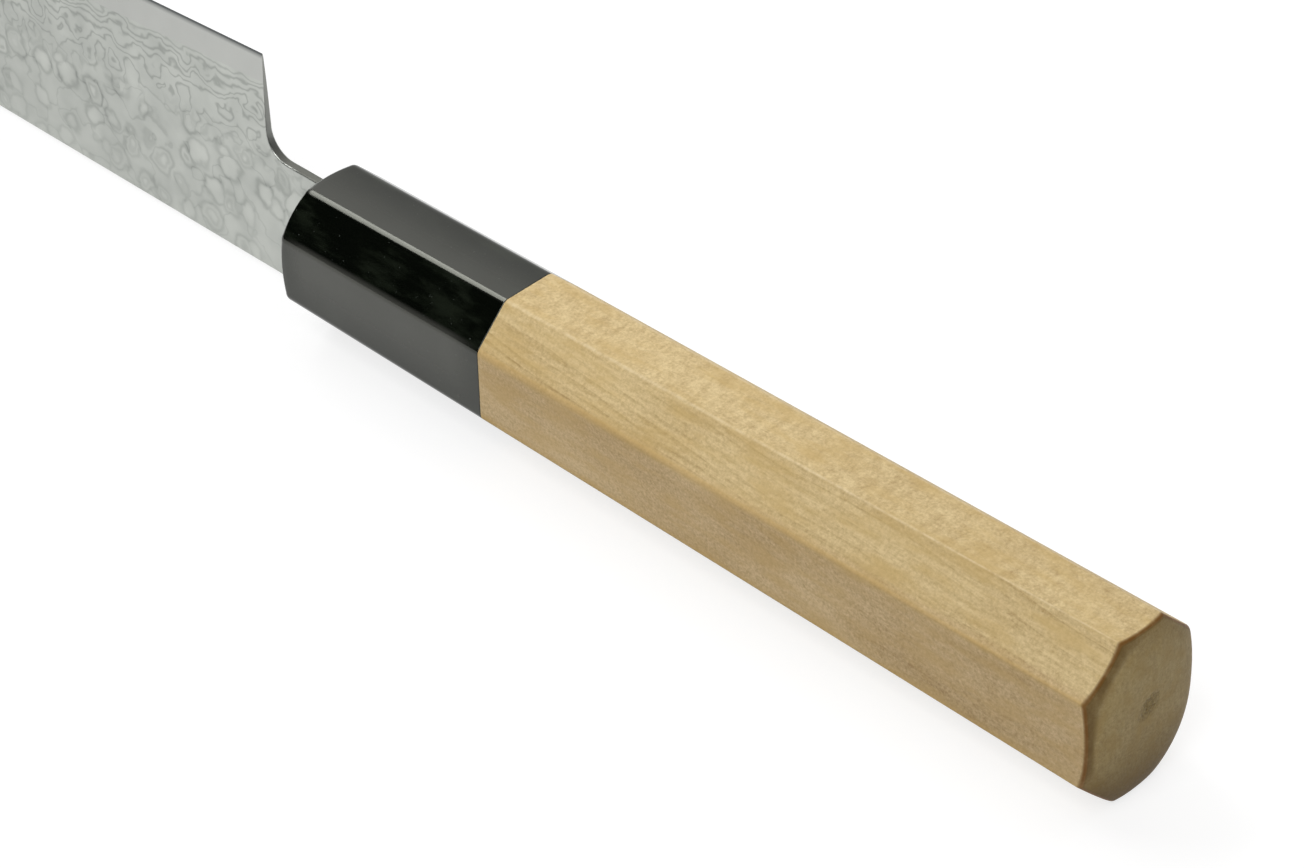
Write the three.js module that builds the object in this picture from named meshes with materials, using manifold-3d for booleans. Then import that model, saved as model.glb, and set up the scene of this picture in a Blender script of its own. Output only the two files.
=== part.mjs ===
// A petty knife in the Japanese style: a blade of three welded layers, whose hidden tang is bedded
// in an octagonal wooden handle behind a black horn ferrule.
// Millimetres. The handle's axis is X, with the butt towards +X and the point towards -X.
// Z runs from the spine up to the cutting edge, and Y = 0 is the plane of symmetry.
import * as THREE from "three";
import { mergeVertices } from "three/addons/utils/BufferGeometryUtils.js";
import Module from "manifold-3d";

const wasm = await Module();
wasm.setup();
const { lerp } = THREE.MathUtils;

// Handle: one tapered octagon, horn in front and wood behind
const ferruleLength = 34.5;
const woodLength = 92.8;
const frontWidth = 16.9;
const frontHeight = 18.2;
const frontChamfer = 4.7;
const buttWidth = 17.5;
const buttHeight = 22.4;
const buttChamfer = 5.35;
const arrisRadius = 1;

// Rounding of the two end rims, in the middle of a facet and at an arris
const frontRimAtFacet = 0.35;
const frontRimAtArris = 0.9;
const buttRimAtFacet = 0.6;
const buttRimAtArris = 0.8;
const archPower = 2; // how late that rounding grows towards an arris

// The butt's end is a low dome
const buttDome = 0.9; // its fall from the crown to mid facet
const domePower = 6; // how late that fall begins
const domeFullness = 2.25; // 2 makes its contours ellipses, and more fills their corners

// Blade: outline
const bladeLength = 150; // heel to point
const neckLength = 10.4; // ferrule to heel
const edgeAboveAxis = 21.85; // at the heel
const spineBelowAxis = 9.9; // at the heel
const spinePitch = 0.0065; // the spine leans away from the edge
const edgePitch = 0.055; // the edge leans towards the spine at the heel
const bellyPower = 4; // how late the edge sweeps up to the point
const pointDrop = 5; // the spine's fall to the point
const straightSpine = 88; // heel to where that fall begins
const dropPower = 2.2;
const neckHeight = 15;
const choilRadius = 3.5;
const spineNotchLength = 3.5; // the step on the spine side, ahead of the ferrule
const spineNotchRadius = 1.2;

// Blade: thickness
const heelThickness = 1.7;
const pointThickness = 0.75;
const pointThinning = 4; // height under which the point is ground thinner
const coreThickness = 0.52;
const bevelHeight = 0.35; // the sharpened bevel
const bevelThickness = 0.18;
const spineEase = 0.25; // softened corners of the spine
const pointShare = 0.25; // the most of the section that bevel and easing take near the point

// Tang and the joints inside the handle
const tangLength = 80;
const tangHeight = 9; // at the shoulders
const tangEndHeight = 5;
const tangEndRounding = 2;
const tenonDiameter = 13;
const tenonLength = 24;
const boreEndGap = 0.5;
const beddingWall = 0.8;
const fitGap = 0.15;

// Fineness of the facets
const facetSteps = 6;
const arrisSteps = 3;
const rimSteps = 4;
const domeSteps = 4;
const roundSides = 48;
const bladeStations = 36;
const faceRows = 8;
const rowCrowding = 1.6; // draws the rows of the blade's face together towards the edge
const curveSteps = 10;

const margin = 20; // how far cutting bodies reach past what they cut
const handleLength = ferruleLength + woodLength;
const tenonFront = ferruleLength - tenonLength;
const neckTop = neckHeight / 2;
const roundStart = tangLength - tangEndRounding;

// The body inside a closed geometry, with shared corners merged and collapsed faces dropped
function solid(geometry) {
  const bare = new THREE.BufferGeometry();
  bare.setAttribute("position", geometry.getAttribute("position"));
  bare.setIndex(geometry.index);
  const merged = mergeVertices(bare);
  const index = merged.index.array;
  const faces = [];
  for (let i = 0; i < index.length; i += 3) {
    const [a, b, c] = index.slice(i, i + 3);
    if (a !== b && b !== c && c !== a) faces.push(a, b, c);
  }
  const vertProperties = new Float32Array(merged.getAttribute("position").array);
  return new wasm.Manifold(new wasm.Mesh({ numProp: 3, vertProperties, triVerts: new Uint32Array(faces) }));
}

// A named mesh of a finished body
function piece(name, body, color, roughness, metalness) {
  const { vertProperties, triVerts } = body.getMesh();
  const geometry = new THREE.BufferGeometry();
  geometry.setAttribute("position", new THREE.BufferAttribute(vertProperties, 3));
  geometry.setIndex(new THREE.BufferAttribute(triVerts, 1));
  geometry.computeVertexNormals();
  const mesh = new THREE.Mesh(geometry, new THREE.MeshStandardMaterial({ color, roughness, metalness }));
  mesh.name = name;
  return mesh;
}

// A skin over rings of equally many points, each end closed by a fan round its middle
function loft(rings) {
  const count = rings[0].length;
  const first = rings[0];
  const last = rings[rings.length - 1];
  const middle = (ring) => ring.reduce((sum, p) => sum.add(p), new THREE.Vector3()).divideScalar(count);
  const points = [...rings.flat(), middle(first), middle(last)];
  const faces = [];
  for (let i = 0; i < count; i++) {
    const next = (i + 1) % count;
    for (let low = 0; low < (rings.length - 1) * count; low += count) {
      const high = low + count;
      faces.push(low + i, low + next, high + next, low + i, high + next, high + i);
    }
    const top = (rings.length - 1) * count;
    faces.push(points.length - 2, next, i, points.length - 1, top + i, top + next);
  }
  return new THREE.BufferGeometry().setFromPoints(points).setIndex(faces);
}

// An outline drawn in X and Z, made a plate of the given thickness about Y = 0
function plate(outline, thickness) {
  const flat = new THREE.ExtrudeGeometry(outline, {
    depth: thickness,
    bevelEnabled: false,
    curveSegments: curveSteps,
  });
  return flat.rotateX(Math.PI / 2).translate(0, thickness / 2, 0);
}

// A round bar along X
function roundBar(diameter, start, end) {
  const bar = new THREE.CylinderGeometry(diameter / 2, diameter / 2, end - start, roundSides);
  return bar.rotateZ(Math.PI / 2).translate((start + end) / 2, 0, 0);
}

// The octagon's section as points in Y and Z. arris is 1 at a corner and falls to 0 at mid facet.
function octagon(width, height, chamfer) {
  const w = width / 2;
  const h = height / 2;
  const upper = [
    [w, h - chamfer],
    [w - chamfer, h],
  ];
  const right = [...upper.map(([y, z]) => [y, -z]).reverse(), ...upper];
  const corners = [...right, ...right.map(([y, z]) => [-y, -z])].map((c) => new THREE.Vector2(...c));
  const setback = arrisRadius * Math.tan(Math.PI / 8);
  const points = [];
  corners.forEach((corner, i) => {
    const next = corners[(i + 1) % corners.length];
    const after = corners[(i + 2) % corners.length];
    const start = corner.clone().add(next.clone().sub(corner).setLength(setback));
    const end = next.clone().add(corner.clone().sub(next).setLength(setback));
    for (let k = 0; k < facetSteps; k++) {
      const along = k / facetSteps;
      points.push({ at: start.clone().lerp(end, along), arris: (2 * along - 1) ** archPower });
    }
    const beyond = next.clone().add(after.clone().sub(next).setLength(setback));
    const arc = new THREE.QuadraticBezierCurve(end, next, beyond).getPoints(arrisSteps);
    arc.slice(0, -1).forEach((at) => points.push({ at, arris: 1 }));
  });
  return points;
}

const frontSection = octagon(frontWidth, frontHeight, frontChamfer);
const buttSection = octagon(buttWidth, buttHeight, buttChamfer);

// The section's point i at x, drawn in towards the axis
function handlePoint(i, x, inset) {
  const at = frontSection[i].at.clone().lerp(buttSection[i].at, x / handleLength);
  at.setLength(at.length() - inset);
  return new THREE.Vector3(x, at.x, at.y);
}

// The whole section at x
function handleRing(x) {
  return frontSection.map((_, i) => handlePoint(i, x, 0));
}

// How far the butt's end falls back from its crown, at a point of the section
function domeFall({ y, z }) {
  const across = Math.abs((2 * y) / buttWidth) ** domeFullness;
  const upright = Math.abs((2 * z) / buttHeight) ** domeFullness;
  return buttDome * (across + upright) ** (domePower / domeFullness);
}

// Rings that round an end off. The radius grows from mid facet to arris, and the end falls back from its crown.
function rimRings(end, outward, atFacet, atArris, fall) {
  return Array.from({ length: rimSteps + 1 }, (_, step) => {
    const angle = (step / rimSteps) * (Math.PI / 2);
    return frontSection.map(({ arris }, i) => {
      const radius = lerp(atFacet, atArris, arris);
      const inset = radius * (1 - Math.cos(angle));
      const setback = radius * (1 - Math.sin(angle)) + fall(handlePoint(i, end, inset));
      return handlePoint(i, end - outward * setback, inset);
    });
  });
}

// Rings over the butt's dome, from inside its rim towards the crown
function domeRings(rim) {
  return Array.from({ length: domeSteps }, (_, step) => {
    const share = Math.cos(((step + 1) / (domeSteps + 1)) * (Math.PI / 2));
    return rim.map((point) => {
      const at = new THREE.Vector3(handleLength, point.y * share, point.z * share);
      return at.setX(handleLength - domeFall(at));
    });
  });
}

// Height of the tang above or below the axis at x
function tangHalf(x) {
  return lerp(tangHeight, tangEndHeight, x / tangLength) / 2;
}

// The tang's space, grown all round, from a given x to just past its end
function tangSpace(start, grow) {
  const end = tangLength + grow;
  const outline = new THREE.Shape();
  outline.moveTo(start, -tangHalf(start) - grow);
  outline.lineTo(end, -tangHalf(tangLength) - grow);
  outline.lineTo(end, tangHalf(tangLength) + grow);
  outline.lineTo(start, tangHalf(start) + grow);
  return solid(plate(outline, heelThickness + 2 * grow));
}

// Spine, edge and thickness at a distance ahead of the heel
function bladeAt(ahead) {
  const u = Math.max(ahead, 0);
  const share = u / bladeLength;
  const heelHeight = edgeAboveAxis + spineBelowAxis;
  const sweep = heelHeight - edgePitch * bladeLength - pointDrop;
  const line = -spineBelowAxis - spinePitch * u;
  const fall = Math.max(u - straightSpine, 0) / (bladeLength - straightSpine);
  const spine = line + pointDrop * fall ** dropPower;
  const edge = line + heelHeight - edgePitch * u - sweep * share ** bellyPower;
  const height = Math.max(edge - spine, 0);
  const thickness = lerp(heelThickness, pointThickness, share) * (1 - Math.exp(-height / pointThinning));
  return { spine, edge, height, thickness };
}

// Half of the blade's section is a convex face from the sharpened bevel to the spine.
// Half the thickness grows as a parabola whose crown is at the spine.
function bladeRing(ahead) {
  const x = -neckLength - ahead;
  const { spine, edge, height, thickness } = bladeAt(ahead);
  const bevel = Math.min(bevelHeight, pointShare * height);
  const behindEdge = Math.min(bevelThickness, pointShare * thickness) / 2;
  const ease = Math.min(spineEase, pointShare * height, pointShare * thickness);
  const face = [];
  for (let row = 0; row <= faceRows; row++) {
    const up = (row / faceRows) ** rowCrowding;
    const half = lerp(behindEdge, thickness / 2, 1 - (1 - up) ** 2);
    face.push([half, lerp(edge - bevel, spine + ease, up)]);
  }
  face.push([thickness / 2 - ease, spine]);
  const left = face.map(([y, z]) => new THREE.Vector3(x, y, z));
  const right = face.map(([y, z]) => new THREE.Vector3(x, -y, z)).reverse();
  return [new THREE.Vector3(x, 0, edge), ...left, ...right];
}

// The bar before its neck is cut: ground to the point in front, straight through to the tang's end
function groundBar() {
  const stations = Array.from({ length: bladeStations + 1 }, (_, i) => {
    return bladeLength * Math.sin((i / bladeStations) * (Math.PI / 2));
  });
  return solid(loft([-neckLength - tangLength, ...stations].map(bladeRing)));
}

// What is cut away over the tang: down the choil, round its fillet, along the neck to the shoulder
function edgeSideCut() {
  const heel = -neckLength;
  const cut = new THREE.Shape();
  cut.moveTo(heel, edgeAboveAxis + margin);
  cut.lineTo(heel, neckTop + choilRadius);
  cut.absarc(heel + choilRadius, neckTop + choilRadius, choilRadius, Math.PI, 1.5 * Math.PI);
  cut.lineTo(0, neckTop);
  cut.lineTo(0, tangHalf(0));
  cut.lineTo(roundStart, tangHalf(roundStart));
  cut.quadraticCurveTo(tangLength, tangHalf(tangLength), tangLength, 0);
  cut.lineTo(tangLength + margin, 0);
  cut.lineTo(tangLength + margin, edgeAboveAxis + margin);
  return solid(plate(cut, 2 * heelThickness));
}

// What is cut away under the tang: a small notch in the spine, the neck's back and the shoulder
function spineSideCut() {
  const notch = -spineNotchLength;
  const cut = new THREE.Shape();
  cut.moveTo(notch, -spineBelowAxis - margin);
  cut.lineTo(tangLength + margin, -spineBelowAxis - margin);
  cut.lineTo(tangLength + margin, 0);
  cut.lineTo(tangLength, 0);
  cut.quadraticCurveTo(tangLength, -tangHalf(tangLength), roundStart, -tangHalf(roundStart));
  cut.lineTo(0, -tangHalf(0));
  cut.lineTo(0, -neckTop);
  cut.lineTo(notch + spineNotchRadius, -neckTop);
  cut.absarc(notch + spineNotchRadius, -neckTop - spineNotchRadius, spineNotchRadius, Math.PI / 2, Math.PI);
  return solid(plate(cut, 2 * heelThickness));
}

// The ground blade parted into its layers by two planes, so the grind itself lays the core bare
function bladeLayers() {
  const blade = groundBar().subtract(edgeSideCut()).subtract(spineSideCut());
  const reach = 2 * (bladeLength + handleLength);
  const slab = (thickness, middle) => {
    return solid(new THREE.BoxGeometry(reach, thickness, reach).translate(0, middle, 0));
  };
  const cladding = heelThickness;
  const offset = (coreThickness + cladding) / 2;
  return [
    piece("blade_core", blade.intersect(slab(coreThickness, 0)), 0xc4c6c2, 0.28, 1),
    piece("blade_cladding_right", blade.intersect(slab(cladding, -offset)), 0xb2b4af, 0.38, 1),
    piece("blade_cladding_left", blade.intersect(slab(cladding, offset)), 0xb2b4af, 0.38, 1),
  ];
}

// The horn collar: rounded in front, slotted for the tang, bored from behind for the tenon
function ferrule() {
  const rim = rimRings(0, -1, frontRimAtFacet, frontRimAtArris, () => 0).reverse();
  const horn = solid(loft([...rim, handleRing(ferruleLength)]));
  const bore = solid(roundBar(tenonDiameter + 2 * fitGap, tenonFront - boreEndGap, ferruleLength + margin));
  const body = horn.subtract(bore).subtract(tangSpace(-margin, fitGap));
  return piece("ferrule", body, 0x0c0c0b, 0.12, 0);
}

// The wooden grip: its tenon fills the ferrule, and its channel takes the tang and its bedding
function handleBody() {
  const rim = rimRings(handleLength, 1, buttRimAtFacet, buttRimAtArris, domeFall);
  const grip = solid(loft([handleRing(ferruleLength), ...rim, ...domeRings(rim[rimSteps])]));
  const tenon = solid(roundBar(tenonDiameter, tenonFront, ferruleLength + tenonDiameter / 2));
  const channel = tangSpace(tenonFront - margin, beddingWall + 2 * fitGap);
  return piece("handle_body", grip.add(tenon).subtract(channel), 0xc9ab78, 0.55, 0);
}

// The resin sleeve between the tang and the wood
function tangBedding() {
  const sleeve = tangSpace(tenonFront, beddingWall + fitGap).subtract(tangSpace(tenonFront - margin, fitGap));
  return piece("tang_bedding", sleeve, 0x8a7a4e, 0.4, 0);
}

const knife = new THREE.Group();
knife.add(...bladeLayers(), ferrule(), handleBody(), tangBedding());

// The origin is the middle of the knife's footprint, on the surface that it stands on
const box = new THREE.Box3().setFromObject(knife);
knife.position.set(-(box.min.x + box.max.x) / 2, 0, -box.min.z);

const part = new THREE.Group();
part.add(knife);

export default part;
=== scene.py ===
import math

import bpy
import numpy as np
from mathutils import Matrix, Vector


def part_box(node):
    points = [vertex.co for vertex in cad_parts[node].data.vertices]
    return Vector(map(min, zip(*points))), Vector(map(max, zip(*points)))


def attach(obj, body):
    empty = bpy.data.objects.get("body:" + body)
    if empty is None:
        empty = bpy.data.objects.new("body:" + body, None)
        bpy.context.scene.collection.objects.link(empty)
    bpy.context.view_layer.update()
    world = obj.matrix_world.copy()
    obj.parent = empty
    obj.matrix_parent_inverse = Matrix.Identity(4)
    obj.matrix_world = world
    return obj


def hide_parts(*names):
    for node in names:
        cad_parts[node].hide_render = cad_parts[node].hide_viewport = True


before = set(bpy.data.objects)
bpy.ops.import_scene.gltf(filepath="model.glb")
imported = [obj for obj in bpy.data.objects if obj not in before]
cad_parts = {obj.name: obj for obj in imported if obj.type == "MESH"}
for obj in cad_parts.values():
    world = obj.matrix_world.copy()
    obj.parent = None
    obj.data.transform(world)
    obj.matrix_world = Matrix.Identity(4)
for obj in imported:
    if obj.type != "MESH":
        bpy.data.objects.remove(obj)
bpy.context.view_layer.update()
print("frame loaded:", ", ".join(sorted(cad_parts)))

mm = 0.001
tiny = 1e-9  # keeps divisors off nothing and comparisons off rounding

# places on the knife, read from the frame: X runs to the butt, Z from the spine to the edge
ferruleLow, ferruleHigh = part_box("ferrule")
woodLow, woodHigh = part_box("handle_body")
coreLow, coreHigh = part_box("blade_core")
frontX = ferruleLow.x  # front face of the ferrule
jointX = ferruleHigh.x  # where horn meets wood
buttX = woodHigh.x
tenonX = woodLow.x  # front of the tenon inside the ferrule
pointX = coreLow.x
tangEndX = coreHigh.x
heelZ = coreHigh.z  # cutting edge at the heel
axisZ = (ferruleLow.z + ferruleHigh.z) / 2


# Meshes

def ringQuads(stations, around, closed):
    # cells of a skin over rings: every ring closes on itself, and closed joins the last ring to the first
    i = np.arange(stations if closed else stations - 1)[:, None]
    j = np.arange(around)[None, :]
    below = i * around
    above = (i + 1) % stations * around
    after = (j + 1) % around
    return np.stack([below + j, below + after, above + after, above + j], -1).reshape(-1, 4)


def slabQuads(cells):
    # a front skin over the cells that are present, a back skin behind it, and walls round every border
    rows, cols = cells.shape
    number = np.arange((rows + 1) * (cols + 1)).reshape(rows + 1, cols + 1)
    back = number.size
    corners = [number[:-1, :-1], number[:-1, 1:], number[1:, 1:], number[1:, :-1]]
    front = np.stack([c[cells] for c in corners], -1)
    padded = np.pad(cells, 1)
    neighbours = [padded[:-2, 1:-1], padded[1:-1, 2:], padded[2:, 1:-1], padded[1:-1, :-2]]
    walls = []
    for side, beyond in enumerate(neighbours):
        border = cells & ~beyond
        a = corners[side][border]
        b = corners[(side + 1) % 4][border]
        walls.append(np.stack([b, a, a + back, b + back], -1))
    return np.concatenate([front, front[:, ::-1] + back, *walls])


def addObject(name, data):
    made = bpy.data.objects.new(name, data)
    bpy.context.scene.collection.objects.link(made)
    return made


def addPiece(name, points, quads, sharpAngle, layers):
    # equal points are welded and collapsed faces dropped, and the closed skin is turned outwards by the sign
    # of its volume; each layer is a value at every point, for the finish
    weldSize = 1e-5 * mm
    points = points.reshape(-1, 3)
    keys = np.round(points / weldSize).astype(np.int64)
    first, number = np.unique(keys, axis=0, return_index=True, return_inverse=True)[1:]
    number = number.ravel()
    tris = number[np.concatenate([quads[:, [0, 1, 2]], quads[:, [0, 2, 3]]])]
    a, b, c = tris.T
    tris = tris[(a != b) & (b != c) & (c != a)]
    points = points[first]
    a, b, c = (points[tris[:, k]] for k in range(3))
    if np.sum(a * np.cross(b, c)) < 0:
        tris = tris[:, ::-1]
    used, tris = np.unique(tris, return_inverse=True)
    mesh = bpy.data.meshes.new(name)
    mesh.from_pydata(points[used].tolist(), [], tris.reshape(-1, 3).tolist())
    mesh.shade_smooth()
    mesh.set_sharp_from_angle(angle=math.radians(sharpAngle))
    for layer, values in layers.items():
        attribute = mesh.attributes.new(layer, "FLOAT", "POINT")
        attribute.data.foreach_set("value", values.ravel()[first][used].astype(np.float32))
    piece = addObject(name, mesh)
    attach(piece, "root")
    print("piece", name, len(mesh.vertices), "vertices", len(mesh.polygons), "triangles")
    return piece


# Shaders

class Wire:
    # one socket of a shader: maths on it reads as plain Python and adds Math nodes
    def __init__(self, finish, socket):
        self.finish = finish
        self.socket = socket

    def maths(self, operation, *values):
        names = ["Value", "Value_001", "Value_002"]
        return self.finish.node("ShaderNodeMath", {"operation": operation}, dict(zip(names, values)))

    def sibling(self, name):
        # another output of the same node
        return Wire(self.finish, self.socket.node.outputs[name])

    def __add__(self, other):
        return self.maths("ADD", self, other)

    def __radd__(self, other):
        return self.maths("ADD", other, self)

    def __sub__(self, other):
        return self.maths("SUBTRACT", self, other)

    def __rsub__(self, other):
        return self.maths("SUBTRACT", other, self)

    def __mul__(self, other):
        return self.maths("MULTIPLY", self, other)

    def __rmul__(self, other):
        return self.maths("MULTIPLY", other, self)

    def __truediv__(self, other):
        return self.maths("DIVIDE", self, other)

    def __pow__(self, other):
        return self.maths("POWER", self, other)

    def __abs__(self):
        return self.maths("ABSOLUTE", self)


class Finish:
    # a material or a world under construction
    def __init__(self, owner):
        owner.use_nodes = True
        self.tree = owner.node_tree
        self.tree.nodes.clear()

    def node(self, kind, settings=None, sockets=None, output=None):
        # any node: its settings first, then the values or links of its sockets
        made = self.tree.nodes.new(kind)
        for name, value in (settings or {}).items():
            setattr(made, name, value)
        known = {s.identifier: s for s in made.inputs}
        for name, value in (sockets or {}).items():
            if isinstance(value, Wire):
                self.tree.links.new(value.socket, known[name])
            else:
                known[name].default_value = value
        outputs = {s.identifier: s for s in made.outputs}
        return Wire(self, outputs[output] if output else made.outputs[0])

    def millimetres(self, origin):
        # object coordinates in millimetres from a point
        place = self.node("ShaderNodeTexCoord", output="Object")
        scale = (1 / mm,) * 3
        shift = tuple(-v / mm for v in origin)
        return self.node("ShaderNodeMapping", {}, {"Vector": place, "Scale": scale, "Location": shift})

    def split(self, vector):
        made = self.node("ShaderNodeSeparateXYZ", {}, {"Vector": vector}).socket.node
        return [Wire(self, s) for s in made.outputs]

    def join(self, x, y, z):
        return self.node("ShaderNodeCombineXYZ", {}, {"X": x, "Y": y, "Z": z})

    def vectors(self, operation, first, second, output=None):
        # two vectors or colours, taken together part by part
        sockets = {"Vector": first, "Vector_001": second}
        return self.node("ShaderNodeVectorMath", {"operation": operation}, sockets, output)

    def noise(self, vector, scale, detail=2.0, rough=0.5, output="Fac"):
        sockets = {"Vector": vector, "Scale": scale, "Detail": detail, "Roughness": rough}
        return self.node("ShaderNodeTexNoise", {}, sockets, output)

    def figure(self, place, scales, detail=2.0, rough=0.5):
        # noise with a scale of its own along each axis
        return self.noise(self.vectors("MULTIPLY", place, scales), 1.0, detail, rough)

    def ramp(self, value, low, high, toLow=0.0, toHigh=1.0):
        # a smooth step between two values
        sockets = {"Value": value, "From Min": low, "From Max": high, "To Min": toLow, "To Max": toHigh}
        return self.node("ShaderNodeMapRange", {"interpolation_type": "SMOOTHSTEP"}, sockets)

    def bell(self, value, width):
        # 1 at nothing and falling away on both sides
        scaled = value / width
        falling = scaled * scaled * -1
        return falling.maths("EXPONENT", falling)

    def mix(self, share, low, high):
        sockets = {"Factor_Float": share, "A_Color": low, "B_Color": high}
        return self.node("ShaderNodeMix", {"data_type": "RGBA"}, sockets, "Result_Color")

    def tint(self, colour, level):
        # a colour made lighter or darker by a level that varies
        settings = {"operation": "SCALE"}
        return self.node("ShaderNodeVectorMath", settings, {"Vector": colour, "Scale": level})

    def layer(self, name):
        return self.node("ShaderNodeAttribute", {"attribute_name": name}, output="Fac")

    def relief(self, height, strength, distance):
        sockets = {"Strength": strength, "Distance": distance, "Height": height}
        return self.node("ShaderNodeBump", {}, sockets)

    def end(self, kind, shader):
        made = self.tree.nodes.new(kind)
        self.tree.links.new(shader.socket, made.inputs["Surface"])

    def surface(self, sockets):
        self.end("ShaderNodeOutputMaterial", self.node("ShaderNodeBsdfPrincipled", {}, sockets))


def startFinish(name):
    material = bpy.data.materials.new(name)
    return material, Finish(material)


# Handle: one tapered octagon, horn in front and wood behind

handle = {
    "frontWidth": 16.9 * mm,
    "frontHeight": 18.2 * mm,
    "frontChamfer": 4.7 * mm,
    "frontArris": 1.35 * mm,  # rounding along the arrises, crisper towards the butt
    "buttWidth": 17.5 * mm,
    "buttHeight": 22.4 * mm,
    "buttChamfer": 5.35 * mm,
    "buttArris": 0.35 * mm,
    "archPower": 2,  # how late the rounding of an end grows towards an arris
    "facetPoints": 12,
    "arrisPoints": 8,
    "crowding": 2.2,  # the points of a facet crowd towards its arrises, most of all at 2
    "sharpAngle": 40,
}
fit = {
    "tenonRadius": 6.5 * mm,
    "gap": 0.15 * mm,
    "boreEndGap": 0.5 * mm,
    "beddingWall": 0.8 * mm,
    "jointGroove": 0.05 * mm,  # the fine line where horn meets wood
    "jointReach": 0.06 * mm,
    "tangHeight": 9.0 * mm,
    "tangEndHeight": 5.0 * mm,
}


def octagon(end):
    # straight facets between eight corners, each rounded by a parabola that leaves both facets smoothly
    w = handle[end + "Width"] / 2
    h = handle[end + "Height"] / 2
    chamfer = handle[end + "Chamfer"]
    corners = np.array([
        [w, -h + chamfer], [w, h - chamfer], [w - chamfer, h], [-w + chamfer, h],
        [-w, h - chamfer], [-w, -h + chamfer], [-w + chamfer, -h], [w - chamfer, -h],
    ])
    facets = len(corners)
    ahead = np.roll(corners, -1, 0) - corners
    ahead /= np.linalg.norm(ahead, axis=1)[:, None]
    setback = handle[end + "Arris"] * math.tan(math.pi / facets)
    first = (corners + setback * ahead)[:, None]
    last = (np.roll(corners, -1, 0) - setback * ahead)[:, None]
    corner = np.roll(corners, -1, 0)[:, None]
    following = np.roll(first, -1, 0)
    t = np.linspace(0, 1, handle["facetPoints"], endpoint=False)
    t = (t - np.sin(2 * math.pi * t) / (handle["crowding"] * math.pi))[None, :, None]
    s = np.linspace(0, 1, handle["arrisPoints"], endpoint=False)[None, :, None]
    facet = first + (last - first) * t
    arris = last * (1 - s) ** 2 + corner * 2 * s * (1 - s) + following * s ** 2
    section = np.concatenate([facet, arris], 1).reshape(-1, 2)
    # 1 at an arris and falling to 0 mid facet, and a narrow bell over the arris alone
    arch = np.concatenate([np.abs(2 * t - 1) ** handle["archPower"], np.ones_like(s)], 1)
    crest = np.concatenate([np.zeros_like(t), (4 * s * (1 - s)) ** 2], 1)
    return section, np.tile(arch.ravel(), facets), np.tile(crest.ravel(), facets)


frontSection, arch, crest = octagon("front")
buttSection = octagon("butt")[0]
around = len(arch)
bearing = np.arctan2(frontSection[:, 1], frontSection[:, 0])


def sectionAt(x):
    # the octagon between its front and butt sizes, in proportion to the distance along the axis
    share = np.asarray((x - frontX) / (buttX - frontX))[..., None]
    return frontSection + (buttSection - frontSection) * share


def drawnIn(section, inset):
    # every point of the sections moved towards the axis by its inset
    distance = np.linalg.norm(section, axis=-1)
    return section * (1 - inset / distance)[..., None]


def handleRings(x, section):
    # rings of points in the row frame from places along the axis and sections across it
    x = np.broadcast_to(x, section.shape[:-1])
    return np.stack([x, section[..., 0], section[..., 1] + axisZ], -1)


def barrelRings(side, rimX, count):
    # the octagon from the joint to where an end's rounding begins, drawn in at the joint by a fine groove
    reach = side * fit["jointReach"]
    straight = np.linspace(jointX + 2 * reach, rimX, count)
    stations = np.concatenate([[jointX, jointX + reach], straight])[:, None]
    groove = np.zeros_like(stations)
    groove[0] = fit["jointGroove"]
    return handleRings(stations, drawnIn(sectionAt(stations), groove))


def domeFall(section, dome):
    # how far a domed end falls back from its crown: a power of the distance from the axis in shares of
    # the butt, measured so that a fullness of 2 makes its contours ellipses and more fills their corners
    height, power, fullness = dome
    shares = np.abs(section / (handle["buttWidth"] / 2, handle["buttHeight"] / 2)) ** fullness
    return height * np.sum(shares, -1) ** (power / fullness)


def rimRings(endX, outward, rim, fallAt, steps):
    # a quarter round in every direction from the axis, its radius growing from mid facet to arris
    angle = np.linspace(0, math.pi / 2, steps)[:, None]
    radius = rim[0] + (rim[1] - rim[0]) * arch
    inset = radius * (1 - np.cos(angle))
    fall = fallAt(drawnIn(sectionAt(endX), inset)) if fallAt else 0
    x = endX - outward * (radius * (1 - np.sin(angle)) + fall)
    return handleRings(x, drawnIn(sectionAt(x), inset))


def faceRings(outer, inner, shares):
    # rings across an end face, from an outer ring to an inner one
    return outer + (inner - outer) * np.asarray(shares)[:, None, None]


def circle(radius):
    return radius * np.stack([np.cos(bearing), np.sin(bearing)], -1)


def slot(halfWidth, halfHeight):
    # a rectangle: each bearing is carried out to the nearer of its two walls
    across = np.maximum(np.abs(np.cos(bearing)), tiny)
    along = np.maximum(np.abs(np.sin(bearing)), tiny)
    return circle(np.minimum(halfWidth / across, halfHeight / along)[:, None])


def tangHalf(x):
    # half the tang's height, tapering evenly from the shoulders to its end
    share = (x - frontX) / (tangEndX - frontX)
    return (fit["tangHeight"] + (fit["tangEndHeight"] - fit["tangHeight"]) * share) / 2


# Ferrule

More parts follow.
